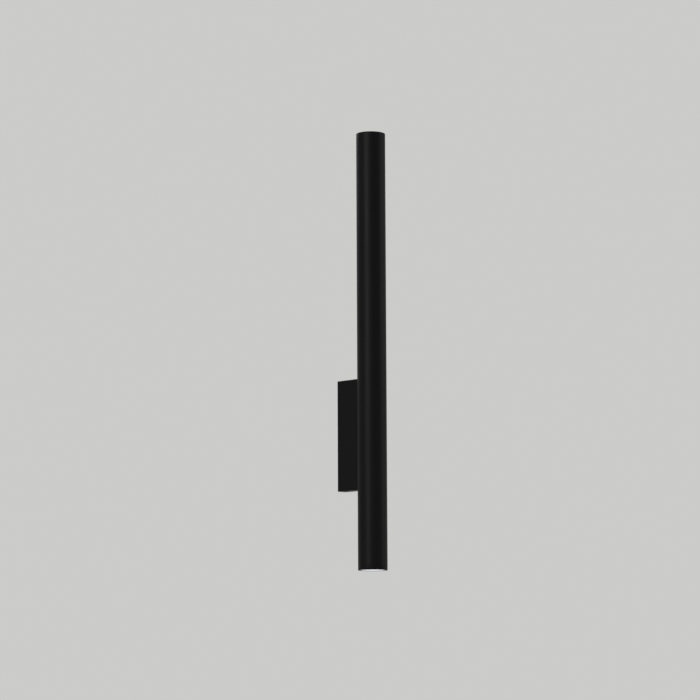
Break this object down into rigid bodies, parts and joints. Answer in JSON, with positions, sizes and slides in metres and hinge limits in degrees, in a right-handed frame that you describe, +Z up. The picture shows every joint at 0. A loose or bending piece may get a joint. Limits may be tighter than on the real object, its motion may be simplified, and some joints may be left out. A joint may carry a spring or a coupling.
{
  "type": "tube wall light",
  "caption": "Slim round tube that stands off the wall on a narrow upright box and shines up and down from its open ends.",
  "frame": {"origin": "centre of the bracket's back face, on the wall", "axes": "+Z up along the tube, +Y into the wall, -Y out into the room"},
  "size_m": [0.04, 0.0799, 0.6],
  "materials": {
    "black_coat": "matte, finely textured powder coat",
    "galvanised_steel": "satin, zinc coated",
    "plated_steel": "satin, zinc plated",
    "bright_screws": "bright zinc plate",
    "black_screws": "matte, blackened",
    "black_rubber": "matte",
    "white_nylon": "satin moulded nylon",
    "spring_steel": "bright rolled strip",
    "tinned_copper": "tinned, slightly dull",
    "brown_core": "satin insulation",
    "blue_core": "satin insulation",
    "striped_core": "satin insulation, green with yellow stripes",
    "module_cores": "satin red insulation",
    "driver_plastic": "satin moulded",
    "green_board": "satin lacquer",
    "transformer_tape": "tape round a dark grey core",
    "capacitor_sleeve": "shrunk sleeve",
    "filter_case": "gloss moulded",
    "terminal_plastic": "satin moulded",
    "bare_aluminium": "turned and milled",
    "holder_plastic": "satin moulded",
    "led_package": "white ceramic with a lit phosphor disc",
    "clear_lens": "clear, moulded",
    "clear_silicone": "cloudy",
    "satin_aluminium": "satin, silver"
  },
  "bodies": {
    "bracket": {"wall_bracket": "galvanised_steel", "cable_bushing": "black_rubber", "earth_clamp": "galvanised_steel", "earth_screw": "bright_screws"},
    "lamp": {"box_screw_washers": "plated_steel", "box_screws": "bright_screws", "clamp_screws": "black_screws", "driver_board": "green_board", "driver_capacitors": "capacitor_sleeve", "driver_case": "driver_plastic", "driver_cover": "driver_plastic", "driver_filter": "filter_case", "driver_screws": "bright_screws", "driver_terminals": "terminal_plastic", "driver_transformer": "transformer_tape", "earth_lead": "striped_core", "earth_lug": "tinned_copper", "earth_lug_screw": "bright_screws", "lead_bushing": "black_rubber", "live_lead": "brown_core", "lower_glare_ring": "satin_aluminium", "lower_heat_sink": "bare_aluminium", "lower_holder_screws": "bright_screws", "lower_leads": "module_cores", "lower_led_chip": "led_package", "lower_led_holder": "holder_plastic", "lower_lens": "clear_lens", "lower_lens_seal": "clear_silicone", "module_screws": "black_screws", "mount_box": "black_coat", "neutral_lead": "blue_core", "spine_strip": "plated_steel", "terminal_block": "white_nylon", "terminal_clamps": "spring_steel", "terminal_screws": "bright_screws", "tube_body": "black_coat", "upper_glare_ring": "satin_aluminium", "upper_heat_sink": "bare_aluminium", "upper_holder_screws": "bright_screws", "upper_leads": "module_cores", "upper_led_chip": "led_package", "upper_led_holder": "holder_plastic", "upper_lens": "clear_lens", "upper_lens_seal": "clear_silicone"}
  },
  "joints": [
    {"name": "lamp_pull_off", "type": "slide", "parent": "bracket", "child": "lamp", "axis": [0, -1, 0], "range_m": [0, 0.045]}
  ]
}
